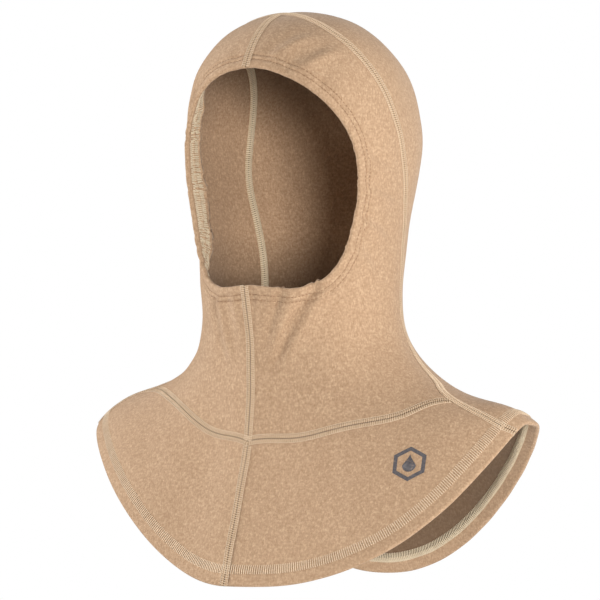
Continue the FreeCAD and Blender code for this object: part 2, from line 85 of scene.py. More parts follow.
def curve_through(stations, values):
    """A smooth cubic curve through the values, as a function of the station."""
    x = np.asarray(stations, float)
    y = np.asarray(values, float)
    step = np.diff(x)
    count = len(x)
    system = np.eye(count)
    pull = np.zeros_like(y)
    for i in range(1, count - 1):
        system[i, i - 1:i + 2] = step[i - 1], 2 * (step[i - 1] + step[i]), step[i]
        pull[i] = 6 * ((y[i + 1] - y[i]) / step[i] - (y[i] - y[i - 1]) / step[i - 1])
    bend = np.linalg.solve(system, pull)

    def at(t):
        t = np.asarray(t, float)
        k = np.clip(np.searchsorted(x, t) - 1, 0, count - 2)
        h = step[k][..., None]
        before = (x[k + 1] - t)[..., None]
        after = (t - x[k])[..., None]
        return (bend[k] * before ** 3 / (6 * h) + bend[k + 1] * after ** 3 / (6 * h)
                + (y[k] / h - bend[k] * h / 6) * before
                + (y[k + 1] / h - bend[k + 1] * h / 6) * after)

    return at


LEVEL_AT = curve_through(LEVELS[:, 0], LEVELS[:, 1:])


def smooth(t):
    """0 up to 0, 1 from 1, and a soft step between."""
    t = np.clip(t, 0.0, 1.0)
    return t * t * (3 - 2 * t)


def hill(value, centre, spread):
    """1 at the centre, falling away softly to either side."""
    return np.exp(-((value - centre) / spread) ** 2)


def form(a, b):
    """A place on the bare form under the cloth, from its place on the flat chart."""
    run = np.clip(np.hypot(a, b), 1e-6, None)
    side = a / run
    ahead = b / run
    run = np.minimum(run, 1.0)
    level = LEVEL_AT(run)
    width, front, back, widest, front_z, side_z, back_z, square = np.moveaxis(level, -1, 0)
    fullness = smooth((run - FULLER_FROM) / (FULLER_AT - FULLER_FROM))
    fuller = np.where((side > 0) & (ahead < 0), fullness, 0.0)
    square = square + (FULL_SQUARENESS - square) * fuller
    power = np.where(ahead < 0, 2 / square, 1.0)
    x = width * np.sign(side) * np.abs(side) ** power
    reach = np.where(ahead < 0, -front, back)
    y = widest + (reach - widest) * np.abs(ahead) ** power
    end_z = np.where(ahead < 0, front_z, back_z)
    # the wearer's left shoulder lies a little lower
    side_z = side_z + LOW_SHOULDER * hill(run, 0.84, 0.09) * np.clip(side, 0.0, 1.0) ** 2
    z = side_z + (end_z - side_z) * np.abs(ahead) ** (DROP_POWER - fuller * (DROP_POWER - FULL_DROP_POWER))
    return np.stack((x, y, -z), -1)


# ---------------------------------------------------------------- the worn cloth
def chart(run, degrees):
    """The flat chart's place at a share of the way from crown to hem, and an angle round it."""
    angle = np.radians(degrees)
    return np.stack((run * np.cos(angle), run * np.sin(angle)), -1)


def places(*pairs):
    """Chart places from pairs of run and degrees."""
    return np.array([chart(run, degrees) for run, degrees in pairs])


def unit(v):
    """Vectors of length one."""
    return v / np.maximum(np.linalg.norm(v, axis=-1, keepdims=True), 1e-12)


SLOPE_STEP = 0.0015


def slopes(surface, ab):
    """How a surface moves as its two chart values grow."""
    run = np.maximum(np.hypot(ab[..., 0], ab[..., 1]), 1e-9)
    inside = ab * np.minimum(1.0, (1.0 - 1.5 * SLOPE_STEP) / run)[..., None]
    along_a = np.array((SLOPE_STEP, 0.0))
    along_b = np.array((0.0, SLOPE_STEP))
    by_a = (surface(inside + along_a) - surface(inside - along_a)) / (2 * SLOPE_STEP)
    by_b = (surface(inside + along_b) - surface(inside - along_b)) / (2 * SLOPE_STEP)
    return by_a, by_b


def bare(ab):
    """The form under the cloth."""
    return form(ab[..., 0], ab[..., 1])


def facing(surface, ab):
    """The outward direction of a surface."""
    by_a, by_b = slopes(surface, ab)
    return unit(np.cross(by_a, by_b))


def dense(knots, count=400):
    """Many chart places on the smooth line through a few."""
    reach = np.concatenate(([0.0], np.cumsum(np.linalg.norm(np.diff(knots, axis=0), axis=1))))
    return curve_through(reach, knots)(np.linspace(0.0, reach[-1], count))


class Fold:
    """A soft ridge along a line, with a shallower valley on one side of it."""

    def __init__(self, knots, width, height, dip, fades):
        ab = dense(knots, 40)
        self.middle = bare(ab)
        normal = facing(bare, ab)
        along = unit(np.gradient(self.middle, axis=0))
        self.across = unit(np.cross(normal, along))
        share = np.linspace(0.0, 1.0, len(ab))
        self.strength = smooth(share / fades[0]) * smooth((1 - share) / fades[1])
        self.width = width
        self.height = height
        self.dip = dip

    def lift(self, points):
        """The height of the fold at points on the form."""
        flat = points.reshape(-1, 3)
        out = np.zeros(len(flat))
        reach = 4.5 * self.width
        near = np.all((flat > self.middle.min(0) - reach) & (flat < self.middle.max(0) + reach), axis=1)
        some = flat[near]
        if len(some):
            gap = some[:, None, :] - self.middle[None, :, :]
            nearest = np.argmin((gap ** 2).sum(-1), axis=1)
            off = gap[np.arange(len(some)), nearest]
            d = (off * self.across[nearest]).sum(-1)
            beyond = np.sqrt(np.maximum((off ** 2).sum(-1) - d ** 2, 0.0))
            ridge = np.exp(-(d / self.width) ** 2)
            sign = 1.0 if self.dip >= 0 else -1.0
            valley = np.exp(-((sign * d - 1.9 * self.width) / (1.25 * self.width)) ** 2)
            fade = self.strength[nearest] * np.exp(-(beyond / (2.0 * self.width)) ** 2)
            out[near] = self.height * fade * (ridge - abs(self.dip) * valley)
        return out.reshape(points.shape[:-1])


# the wearer's left edge of the face opening, then the right one given as its mirror image
FACE_LEFT = ((0.213, -90), (0.225, -73), (0.250, -57), (0.302, -39), (0.365, -28.5), (0.435, -25),
             (0.490, -29), (0.530, -36), (0.558, -47), (0.570, -64), (0.565, -90))
FACE_RIGHT = ((0.213, -90), (0.222, -75), (0.245, -60), (0.297, -47), (0.360, -42), (0.430, -41),
              (0.488, -44), (0.530, -51), (0.556, -61), (0.567, -74), (0.565, -90))
SIDE_LEFT = ((0.055, -90), (0.10, -42), (0.15, -28), (0.20, -17), (0.26, -6.5), (0.33, 0.5),
             (0.40, 7.5), (0.48, 14), (0.56, 17), (0.64, 17.5), (0.72, 8), (0.79, -5),
             (0.838, -11.5), (0.90, -10.5), (1.0, -6))
SIDE_RIGHT = ((0.055, -90), (0.10, -14), (0.15, 12), (0.20, 24), (0.26, 27), (0.33, 25.5),
              (0.40, 25), (0.48, 31), (0.56, 34), (0.64, 31), (0.72, 17), (0.79, 0),
              (0.838, -11.5), (0.90, -13), (1.0, -12))
NECK_LEFT = ((0.787, -90), (0.790, -72), (0.798, -54), (0.818, -34), (0.838, -11.5))
NECK_RIGHT = ((0.787, -90), (0.784, -72), (0.780, -54), (0.790, -34), (0.838, -11.5))


def mirrored(ab):
    """Chart places on the wearer's other side."""
    return ab * np.array((-1.0, 1.0))


def joined_over(knots):
    """Chart places on a line that crosses the middle plane smoothly at both ends."""
    before = mirrored(knots[1:3][::-1])
    after = mirrored(knots[-3:-1][::-1])
    both = np.concatenate((before, knots, after))
    reach = np.concatenate(([0.0], np.cumsum(np.linalg.norm(np.diff(both, axis=0), axis=1))))
    return curve_through(reach, both)(np.linspace(reach[2], reach[-3], 400))


def line_ab(pairs, right=False, over=False):
    """The chart places of a named line on one side."""
    knots = places(*pairs)
    ab = joined_over(knots) if over else dense(knots)
    return mirrored(ab) if right else ab


face_left_ab = line_ab(FACE_LEFT, over=True)
face_right_ab = line_ab(FACE_RIGHT, right=True, over=True)
side_left_ab = line_ab(SIDE_LEFT)
side_right_ab = line_ab(SIDE_RIGHT, right=True)
neck_left_ab = line_ab(NECK_LEFT)
neck_right_ab = line_ab(NECK_RIGHT, right=True)
face_ring_ab = np.concatenate((face_left_ab, face_right_ab[::-1][1:]))
face_ring_xyz = bare(face_ring_ab)
face_ring_length = np.concatenate(
    ([0.0], np.cumsum(np.linalg.norm(np.diff(face_ring_xyz, axis=0), axis=1))))

rng = np.random.default_rng(7)
GATHER_COUNT = 46
GATHER_OUT = 11 * MM
gather_at = np.linspace(0.0, face_ring_length[-1], GATHER_COUNT, endpoint=False)
gather_at = gather_at + rng.uniform(-2.6, 2.6, GATHER_COUNT) * MM
gather_high = rng.uniform(0.2, 1.15, GATHER_COUNT) * MM
gather_long = rng.uniform(6, 15, GATHER_COUNT) * MM

ROLL_DEPTH = 9.5 * MM
ROLL_LIP = 1.0 * MM

FOLDS = [
    # the drag from the left corner of the mouth down to the throat
    Fold(places((0.560, -46), (0.607, -58.8), (0.653, -70.2), (0.712, -81)),
         3.8 * MM, -3.4 * MM, 0.3, (0.06, 0.35)),
    Fold(places((0.566, -66), (0.62, -75), (0.69, -85)), 4.0 * MM, -1.9 * MM, 0.5, (0.1, 0.5)),
    # soft folds at the wearer's right of the chin
    Fold(places((0.575, -112), (0.64, -108), (0.69, -101)), 4.5 * MM, 2.2 * MM, -0.7, (0.15, 0.4)),
    Fold(places((0.572, -99), (0.63, -97), (0.69, -94)), 3.5 * MM, 0.9 * MM, 0.5, (0.15, 0.4)),
    # folds the brow draws up over the crown, and creases at the wearer's left temple and cheek
    Fold(places((0.205, -76), (0.165, -62), (0.140, -42)), 4.0 * MM, 1.3 * MM, 0.6, (0.2, 0.5)),
    Fold(places((0.232, -62), (0.198, -46), (0.175, -26)), 4.5 * MM, 1.5 * MM, 0.6, (0.2, 0.5)),
    Fold(places((0.375, -24), (0.382, -14), (0.394, -4)), 3.2 * MM, 1.3 * MM, 0.6, (0.15, 0.5)),
    Fold(places((0.425, -22), (0.430, -12), (0.440, 2)), 3.4 * MM, 1.6 * MM, 0.6, (0.15, 0.5)),
    Fold(places((0.468, -24), (0.480, -12), (0.497, 0)), 3.6 * MM, 1.4 * MM, 0.6, (0.15, 0.5)),
    Fold(places((0.500, -29), (0.522, -20), (0.552, -10)), 4.2 * MM, 1.5 * MM, 0.6, (0.15, 0.5)),
    # small creases on the wearer's right cheek
    Fold(places((0.396, -146), (0.402, -158), (0.405, -172)), 2.8 * MM, 2.0 * MM, 0.6, (0.3, 0.5)),
    Fold(places((0.428, -145), (0.432, -158), (0.436, -170)), 2.4 * MM, 1.6 * MM, 0.6, (0.3, 0.5)),
    Fold(places((0.462, -143), (0.466, -156), (0.470, -172)), 3.0 * MM, 2.1 * MM, 0.6, (0.3, 0.5)),
]
# short puckers that run back from the elastic on the wearer's right, each with its own length
for run, start, stop, deep in ((0.338, -147, -158, 1.5), (0.365, -148, -163, 1.9), (0.395, -148, -162, 1.6),
                               (0.408, -149, -168, 2.0), (0.424, -148, -160, 1.5), (0.443, -149, -176, 2.4),
                               (0.456, -149, -165, 1.7), (0.476, -147, -160, 1.7), (0.497, -145, -157, 1.4)):
    FOLDS.append(Fold(places((run, start), (run - 0.002, (start + stop) / 2), (run - 0.008, stop)),
                      1.9 * MM, -1.5 * deep * MM, 0.45, (0.12, 0.6)))


def gathers(points):
    """Small puckers that the elastic draws round the face opening."""
    flat = points.reshape(-1, 3)
    out = np.zeros(len(flat))
    near = (flat[:, 1] < -0.01) & (flat[:, 2] > -0.235)
    some = flat[near]
    for start in range(0, len(some), 4000):
        part = some[start:start + 4000]
        gap = ((part[:, None, :] - face_ring_xyz[None, ::2, :]) ** 2).sum(-1)
        nearest = np.argmin(gap, axis=1)
        away = np.sqrt(gap[np.arange(len(part)), nearest])
        at = face_ring_length[::2][nearest]
        total = np.zeros(len(part))
        for k in range(GATHER_COUNT):
            round_ring = np.abs(at - gather_at[k])
            round_ring = np.minimum(round_ring, face_ring_length[-1] - round_ring)
            width = 2.1 * MM + 0.10 * away
            bump = hill(round_ring, 0.0, width) * hill(away, GATHER_OUT, gather_long[k])
            total -= gather_high[k] * bump
        out[np.flatnonzero(near)[start:start + 4000]] = total
    return out.reshape(points.shape[:-1])


def rolled_edge(points):
    """The wearer's right edge of the opening stands away over a hollow beside it."""
    flat = points.reshape(-1, 3)
    out = np.zeros(len(flat))
    near = (flat[:, 0] < -0.03) & (flat[:, 1] < 0.02) & (flat[:, 2] > -0.225)
    some = flat[near]
    ring = face_ring_xyz[face_ring_xyz[:, 0] < 0]
    for start in range(0, len(some), 4000):
        part = some[start:start + 4000]
        away = np.sqrt(((part[:, None, :] - ring[None]) ** 2).sum(-1).min(1))
        height = smooth((part[:, 2] + 0.205) / 0.035) * smooth((-0.042 - part[:, 2]) / 0.028)
        side = smooth((-part[:, 0] - 0.035) / 0.03)
        hollow = -ROLL_DEPTH * hill(away, 14 * MM, 8.5 * MM) + ROLL_LIP * hill(away, 0.0, 6 * MM)
        out[np.flatnonzero(near)[start:start + 4000]] = height * side * hollow
    return out.reshape(points.shape[:-1])


def ripples(points):
    """The slow unevenness of cloth that hangs free."""
    x, y, z = np.moveaxis(points, -1, 0)
    loose = smooth((-z - 0.20) / 0.16)
    fine = (np.sin(x * 118 + z * 61 + 1.3) * np.sin(z * 97 - y * 74 + 0.4)
            + 0.7 * np.sin(y * 151 + x * 43 - z * 36 + 2.1))
    broad = np.sin(np.arctan2(x, -y) * 5.0 + 0.9) + 0.6 * np.sin(np.arctan2(x, -y) * 8.0 + 2.2)
    return (0.28 * MM + 0.25 * MM * loose) * fine + 1.1 * MM * loose * broad


def cloth(ab):
    """The outside of the worn cloth."""
    base = bare(ab)
    lift = ripples(base) + gathers(base) + rolled_edge(base)
    for fold in FOLDS:
        lift = lift + fold.lift(base)
    return base + lift[..., None] * facing(bare, ab)


def raised(ab, lift):
    """Places at a height above the outside of the cloth."""
    return cloth(ab) + np.asarray(lift)[..., None] * facing(cloth, ab)


def moved(ab, direction, distance):
    """Chart places moved by a distance along the cloth in a direction."""
    by_a, by_b = slopes(bare, ab)
    push = direction * np.asarray(distance)[..., None]
    aa = (by_a * by_a).sum(-1)
    bb = (by_b * by_b).sum(-1)
    mixed = (by_a * by_b).sum(-1)
    pa = (by_a * push).sum(-1)
    pb = (by_b * push).sum(-1)
    scale = aa * bb - mixed * mixed
    return ab + np.stack(((pa * bb - pb * mixed) / scale, (pb * aa - pa * mixed) / scale), -1)


class Line:
    """A line on the cloth, told by the distance along it."""

    def __init__(self, ab, closed=False):
        self.ab = ab
        self.closed = closed
        step = np.linalg.norm(np.diff(bare(ab), axis=0), axis=1)
        self.far = np.concatenate(([0.0], np.cumsum(step)))
        self.length = self.far[-1]

    def at(self, s):
        """Chart places at distances along the line."""
        s = np.mod(s, self.length) if self.closed else np.clip(s, 0.0, self.length)
        return np.stack([np.interp(s, self.far, self.ab[:, k]) for k in (0, 1)], -1)

    def beside(self, s, across):
        """Chart places at distances along the line and to its left side."""
        reach = 1.5 * MM
        ahead = bare(self.at(s + reach))
        behind = bare(self.at(s - reach))
        here = self.at(s)
        left = unit(np.cross(facing(bare, here), unit(ahead - behind)))
        half = moved(here, left, 0.5 * np.asarray(across))
        return moved(half, left, 0.5 * np.asarray(across))

    def raised(self, s, across, lift):
        """Points at distances along and beside the line, and above the cloth."""
        s, across, lift = np.broadcast_arrays(s, across, lift)
        return raised(self.beside(s, across), lift)


# ---------------------------------------------------------------- making pieces
def finish_piece(mesh, name, node_names, material):
    """Names a mesh, links it, and lets it ride and stand for its nodes."""
    piece = bpy.data.objects.new(name, mesh)
    bpy.context.scene.collection.objects.link(piece)
    mesh.shade_smooth()
    for one in material if isinstance(material, (list, tuple)) else (material,):
        mesh.materials.append(one)
    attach(piece, "root")
    if node_names:
        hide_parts(*node_names)
    return piece


def net(points, name, closed=False):
    """A mesh from a grid operator, laid through rows and columns of points."""
    rows, columns = points.shape[:2]
    shape = bmesh.new()
    bmesh.ops.create_grid(shape, x_segments=rows - 1, y_segments=columns - 1, size=1.0)
    uv = shape.loops.layers.uv.new("cloth")
    shape.verts.ensure_lookup_table()
    wide = np.concatenate(([0.0], np.cumsum(np.linalg.norm(np.diff(points, axis=0), axis=2).mean(1))))
    tall = np.concatenate(([0.0], np.cumsum(np.linalg.norm(np.diff(points, axis=1), axis=2).mean(0))))
    place_of = {}
    for vert in shape.verts:
        i = int(round((vert.co.x + 1) / 2 * (rows - 1)))
        j = int(round((vert.co.y + 1) / 2 * (columns - 1)))
        place_of[vert.index] = (i, j)
        vert.co = points[i, j]
    for face in shape.faces:
        for loop in face.loops:
            i, j = place_of[loop.vert.index]
            loop[uv].uv = (wide[i], tall[j])
    if closed:
        bmesh.ops.remove_doubles(shape, verts=shape.verts, dist=0.02 * MM)
    mesh = bpy.data.meshes.new(name)
    shape.to_mesh(mesh)
    shape.free()
    return mesh


def outward_first(points, normals, row, column):
    """The grid's rows in the order that makes its faces look along the normals."""
    one = points[row + 1, column] - points[row, column]
    two = points[row, column + 1] - points[row, column]
    if np.dot(np.cross(one, two), normals[row, column]) < 0:
        return points[::-1]
    return points


def thicken(piece, thickness):
    """Gives a sheet its thickness on the inner side."""
    wall = piece.modifiers.new("wall", "SOLIDIFY")
    wall.thickness = thickness
    wall.offset = -1.0
    wall.use_rim = True
    wall.material_offset = 1
    wall.use_quality_normals = True
    return piece


FOLD_STEPS = 6


def turned_under(points, normals, radius, band):
    """Rows of points that go on round a soft fold at their end and come back underneath."""
    out = unit(points[:, -1] - points[:, -3])
    normal = normals[:, -1]
    arcs = []
    for k in range(1, FOLD_STEPS):
        angle = math.pi * k / FOLD_STEPS
        arcs.append(points[:, -1] + radius * math.sin(angle) * out
                    - radius * (1 - math.cos(angle)) * normal)
    under = points[:, -1:-band - 1:-1] - 2 * radius * normals[:, -1:-band - 1:-1]
    return np.concatenate((points, np.stack(arcs, 1), under), axis=1)


def threads(name, paths, radius, node_names, material):
    """Many short threads as one piece, each a tube along its own path."""
    data = bpy.data.curves.new(name, "CURVE")
    data.dimensions = "3D"
    data.bevel_depth = radius
    data.bevel_resolution = 1
    data.use_fill_caps = True
    data.resolution_u = 1
    for path in paths:
        spline = data.splines.new("POLY")
        spline.points.add(len(path) - 1)
        spline.points.foreach_set("co", np.c_[path, np.ones(len(path))].ravel())
        spline.use_smooth = True
    holder = bpy.data.objects.new(name + "_path", data)
    bpy.context.scene.collection.objects.link(holder)
    mesh = bpy.data.meshes.new_from_object(holder.evaluated_get(bpy.context.evaluated_depsgraph_get()))
    bpy.data.objects.remove(holder)
    bpy.data.curves.remove(data)
    mesh.name = name
    mesh.materials.clear()
    return finish_piece(mesh, name, node_names, material)


# ---------------------------------------------------------------- finishes
def linear(*srgb):
    """A colour for a shader from the eight-bit values a colour picker shows."""
    shares = [c / 255 for c in srgb]
    return (*(c / 12.92 if c <= 0.04045 else ((c + 0.055) / 1.055) ** 2.4 for c in shares), 1.0)


class Finish:
    """A node material and short ways to add nodes to it."""

    def __init__(self, name):
        self.material = bpy.data.materials.new(name)
        self.material.use_nodes = True
        self.nodes = self.material.node_tree.nodes
        self.links = self.material.node_tree.links
        self.shader = self.nodes["Principled BSDF"]
        self.coords = self.nodes.new("ShaderNodeTexCoord")

    def node(self, kind, **values):
        """A node with its properties or inputs set."""
        made = self.nodes.new(kind)
        for key, value in values.items():
            if hasattr(made, key):
                setattr(made, key, value)
            else:
                made.inputs[key.replace("_", " ")].default_value = value
        return made

    def noise(self, scale, detail=2.0, rough=0.5, stretch=(1, 1, 1), turn=(0, 0, 0)):
        """Noise in the piece's own space."""
        place = self.node("ShaderNodeMapping")
        place.inputs["Scale"].default_value = stretch
        place.inputs["Rotation"].default_value = turn
        self.links.new(self.coords.outputs["Object"], place.inputs["Vector"])
        made = self.node("ShaderNodeTexNoise", Scale=scale, Detail=detail, Roughness=rough)
        self.links.new(place.outputs["Vector"], made.inputs["Vector"])
        return made.outputs["Fac"]

    def math(self, operation, one, two=None):
        """One step of arithmetic on sockets or numbers."""
        made = self.node("ShaderNodeMath", operation=operation)
        for socket, value in zip(made.inputs, (one, two)):
            if value is None:
                continue
            if isinstance(value, (int, float)):
                socket.default_value = value
            else:
                self.links.new(value, socket)
        return made.outputs[0]

    def remap(self, value, low, high, to_low=0.0, to_high=1.0):
        """A value stretched from one span to another, and held inside it."""
        made = self.node("ShaderNodeMapRange")
        made.clamp = True
        self.links.new(value, made.inputs["Value"])
        for key, number in (("From Min", low), ("From Max", high), ("To Min", to_low), ("To Max", to_high)):
            made.inputs[key].default_value = number
        return made.outputs["Result"]

    def mix(self, factor, one, two):
        """Two colours mixed by a factor."""
        made = self.node("ShaderNodeMix")
        made.data_type = "RGBA"
        for socket, value in ((made.inputs[0], factor), (made.inputs[6], one), (made.inputs[7], two)):
            if isinstance(value, (int, float, tuple)):
                socket.default_value = value
            else:
                self.links.new(value, socket)
        return made.outputs[2]

    def bump(self, height, strength, distance, under=None):
        """A bump laid on the shader, over another if there is one."""
        made = self.node("ShaderNodeBump", Strength=strength, Distance=distance)
        self.links.new(height, made.inputs["Height"])
        if under is not None:
            self.links.new(under, made.inputs["Normal"])
        return made.outputs["Normal"]

    def done(self, colour, normal, roughness, sheen=0.0, sheen_rough=0.5, tint=None, specular=0.2):
        """Joins colour and normal to the shader and sets its constants."""
        self.links.new(colour, self.shader.inputs["Base Color"])
        if normal is not None:
            self.links.new(normal, self.shader.inputs["Normal"])
        self.shader.inputs["Roughness"].default_value = roughness
        self.shader.inputs["Specular IOR Level"].default_value = specular
        self.shader.inputs["Sheen Weight"].default_value = sheen
        self.shader.inputs["Sheen Roughness"].default_value = sheen_rough
        if tint:
            self.shader.inputs["Sheen Tint"].default_value = tint
        return self.material


# heights where the painted shade on the inner face is full and where it is gone, in the crown and below the
# jaw, and the colour of that painted shade
CROWN_PAINTED_SHADE = (-0.030, -0.085)
NECK_PAINTED_SHADE = (-0.205, -0.160)
PAINTED_SHADE_COLOUR = linear(62, 45, 31)


def knit_finish(name, light, middle, dark, fleck, hollow=False):
    """Heathered jersey: pale and brown fibres in fine knitted loops. The inner face can be
    darkened by height, which stands in for deep shade that the lamps do not make."""
    f = Finish(name)
    fibres = f.noise(1500, 2.0, 0.6)
    slubs = f.noise(820, 2.0, 0.55, (1.0, 1.0, 0.5), (0.3, 0.6, 0.1))
    level = f.noise(420, 1.5, 0.5, (0.8, 0.8, 1.6), (0.1, 0.0, 0.3))
    patches = f.noise(22, 2.0, 0.5)
    hairs = f.noise(900, 3.0, 0.7, (2.4, 2.4, 0.6), (0.7, 0.25, 0.4))
    base = f.mix(f.remap(slubs, 0.32, 0.68), dark, light)
    base = f.mix(f.remap(fibres, 0.30, 0.70, 0.0, 0.8), base, middle)
    base = f.mix(f.remap(level, 0.35, 0.65, 0.0, 0.5), base, dark)
    base = f.mix(f.remap(hairs, 0.57, 0.74, 0.0, 0.6), base, fleck)
    base = f.mix(f.remap(patches, 0.3, 0.7, 0.0, 0.12), base, dark)
    # painted shade: the inner face is darkened towards a deep brown by its height, in the crown and below
    # the jaw
    if hollow:
        place = f.node("ShaderNodeSeparateXYZ")
        f.links.new(f.coords.outputs["Object"], place.inputs[0])
        deep = f.math("MAXIMUM", f.remap(place.outputs["Z"], CROWN_PAINTED_SHADE[1], CROWN_PAINTED_SHADE[0]),
                      f.remap(place.outputs["Z"], NECK_PAINTED_SHADE[0], NECK_PAINTED_SHADE[1], 1.0, 0.0))
        base = f.mix(f.math("MULTIPLY", deep, 0.66), base, PAINTED_SHADE_COLOUR)
    parts = f.node("ShaderNodeSeparateXYZ")
    f.links.new(f.coords.outputs["UV"], parts.inputs[0])
    wale = f.math("FRACT", f.math("MULTIPLY", parts.outputs["X"], 1 / (1.15 * MM)))
    leg = f.math("MULTIPLY", f.math("ABSOLUTE", f.math("SUBTRACT", wale, 0.5)), 2.0)
    along = f.math("MULTIPLY", parts.outputs["Y"], 1 / (0.95 * MM))
    course = f.math("ADD", along, f.math("MULTIPLY", leg, 0.6))
    loop = f.math("SINE", f.math("MULTIPLY", course, 2 * math.pi))
    rib = f.math("SINE", f.math("MULTIPLY", leg, math.pi))
    knit = f.math("ADD", f.math("MULTIPLY", loop, 0.35), f.math("MULTIPLY", rib, 0.5))
    normal = f.bump(knit, 0.25, 0.14 * MM)
    normal = f.bump(f.math("ADD", fibres, f.math("MULTIPLY", level, 0.8)), 0.5, 0.45 * MM, normal)
    return f.done(base, normal, 0.92, 0.22, 0.5, tuple(0.5 + 0.5 * c for c in light[:3]) + (1.0,), 0.1)


def thread_finish(name, pale, shade, amount):
    """Spun sewing thread, lighter and darker along its twist."""
    f = Finish(name)
    ply = f.noise(1500, 2.0, 0.6)
    slow = f.noise(170, 2.0, 0.5)
    colour = f.mix(f.remap(ply, 0.35, 0.65, 0.0, amount), pale, shade)
    colour = f.mix(f.remap(slow, 0.35, 0.7, 0.0, amount * 0.6), colour, shade)
    normal = f.bump(ply, 0.5, 0.15 * MM)
    return f.done(colour, normal, 0.62, 0.15, 0.4, pale, 0.25)


def bed_finish(name, pale, shade):
    """The flat of loops under a seam's threads, with painted shade along its middle, in the gap between the
    two rows of arches.
    """
    f = Finish(name)
    parts = f.node("ShaderNodeSeparateXYZ")
    f.links.new(f.coords.outputs["UV"], parts.inputs[0])
    off = f.math("ABSOLUTE", f.math("SUBTRACT", parts.outputs["Y"], SEAM_HALF))
    middle = f.remap(off, 0.25 * MM, 0.75 * MM, 1.0, 0.0)
    ply = f.noise(900, 2.0, 0.6)
    colour = f.mix(f.remap(ply, 0.35, 0.65, 0.0, 0.6), pale, shade)
    # painted shade: a darker copy of the bed's own colour along its middle, in the gap between the arch rows
    dark = tuple(c * 0.42 for c in shade[:3]) + (1.0,)
    colour = f.mix(middle, colour, dark)
    return f.done(colour, f.bump(ply, 0.6, 0.3 * MM), 0.85, 0.1, 0.5, pale, 0.12)


SEAM_HALF = 3.1 * MM
knit = knit_finish("heathered_knit", linear(210, 180, 148), linear(191, 158, 127), linear(158, 126, 97),
                   linear(104, 78, 56))
# the inner face carries painted shade, set by height, in the crown and below the jaw
knit_inner = knit_finish("knit_inner_face", linear(206, 174, 142), linear(186, 153, 121),
                         linear(150, 118, 90), linear(96, 72, 52), True)
cream = thread_finish("cream_thread", linear(226, 204, 176), linear(186, 158, 128), 0.5)
cream_bed = bed_finish("seam_bed", linear(196, 168, 138), linear(160, 130, 100))
khaki = thread_finish("khaki_looper_thread", linear(230, 214, 186), linear(182, 162, 132), 0.5)
khaki_bed = bed_finish("looper_bed", linear(196, 172, 140), linear(150, 126, 98))
tonal = thread_finish("tonal_thread", linear(158, 124, 92), linear(112, 84, 60), 0.6)
yellow = thread_finish("yellow_thread", linear(214, 160, 72), linear(160, 108, 44), 0.4)
elastic = thread_finish("elastic_tape", linear(226, 222, 214), linear(170, 164, 154), 0.5)


def ink_finish():
    """Rubbery transfer ink that lets the knit show through a little."""
    f = Finish("print_ink")
    grain = f.noise(700, 2.0, 0.6)
    worn = f.noise(260, 3.0, 0.7)
    colour = f.mix(f.remap(grain, 0.35, 0.65, 0.0, 0.6), linear(80, 77, 80), linear(108, 102, 102))
    colour = f.mix(f.remap(worn, 0.60, 0.72, 0.0, 0.5), colour, linear(168, 142, 118))
    return f.done(colour, f.bump(grain, 0.4, 0.2 * MM), 0.7, 0.0, 0.5, None, 0.3)


def label_finish():
    """Woven satin, with fine ribs across it."""
    f = Finish("label_satin")
    parts = f.node("ShaderNodeSeparateXYZ")
    f.links.new(f.coords.outputs["UV"], parts.inputs[0])
    rib = f.math("SINE", f.math("MULTIPLY", parts.outputs["Y"], 2 * math.pi / (0.5 * MM)))
    mottled = f.noise(400, 2.0, 0.5)
    colour = f.mix(f.remap(mottled, 0.3, 0.7, 0.0, 0.5), linear(240, 238, 232), linear(214, 210, 202))
    return f.done(colour, f.bump(rib, 0.25, 0.1 * MM), 0.38, 0.1, 0.4, None, 0.4)


ink = ink_finish()
satin = label_finish()


# ---------------------------------------------------------------- the five panels
WALL = 1.35 * MM
FOLD_RADIUS = 1.75 * MM
FACE_TURN_IN = 11 * MM
HEM_TURN_UP = 13 * MM
TONAL_LINES = (6.7 * MM, 10.4 * MM)
face_fine = np.concatenate((np.arange(14.4, 2.4, -0.75) * MM, (FOLD_RADIUS,)))
hem_fine = np.concatenate((np.arange(19.0, 2.4, -1.1) * MM, (FOLD_RADIUS,)))


def stations(rows, fine, coarse):
    """Chart places along rows: even steps, and then set distances from the rows' ends."""
    xyz = bare(rows)
    far = np.cumsum(np.linalg.norm(np.diff(xyz, axis=1), axis=2), axis=1)
    far = np.concatenate((np.zeros((len(rows), 1)), far), axis=1)
    edge = unit(np.gradient(xyz[:, -1], axis=0))
    last = unit(xyz[:, -1] - xyz[:, -2])
    slant = np.maximum(np.linalg.norm(np.cross(edge, last), axis=1), 0.35)
    made = []
    for row, length, lean in zip(rows, far, slant):
        near = length[-1] - fine / lean
        s = np.concatenate((np.linspace(0.0, near[0], coarse, endpoint=False), near))
        made.append(np.stack([np.interp(s, length, row[:, k]) for k in (0, 1)], -1))
    return np.array(made)


ROW_PLACES = 60


def straight_rows(start, end):
    """Rows of chart places, straight from each start to its end."""
    share = np.linspace(0.0, 1.0, ROW_PLACES)[None, :, None]
    return start[:, None, :] * (1 - share) + end[:, None, :] * share


def panel(name, ab, fine, band, grooves=()):
    """A cloth panel laid on its chart places, its edge turned under along the last column."""
    distance = np.concatenate((np.full(ab.shape[1] - len(fine), 1.0), fine))
    lift = -sum((0.8 * MM * hill(distance, at, 0.85 * MM) for at in grooves), np.zeros_like(distance))
    normals = facing(cloth, ab)
    points = cloth(ab) + lift[None, :, None] * normals
    count = int((fine <= band).sum())
    folded = turned_under(points, normals, FOLD_RADIUS, count)
    middle = len(ab) // 2
    mesh = net(outward_first(folded, normals, middle, 3), name + "_cloth")
    piece = finish_piece(mesh, name + "_cloth", [name], (knit, knit_inner))
    return thicken(piece, WALL)


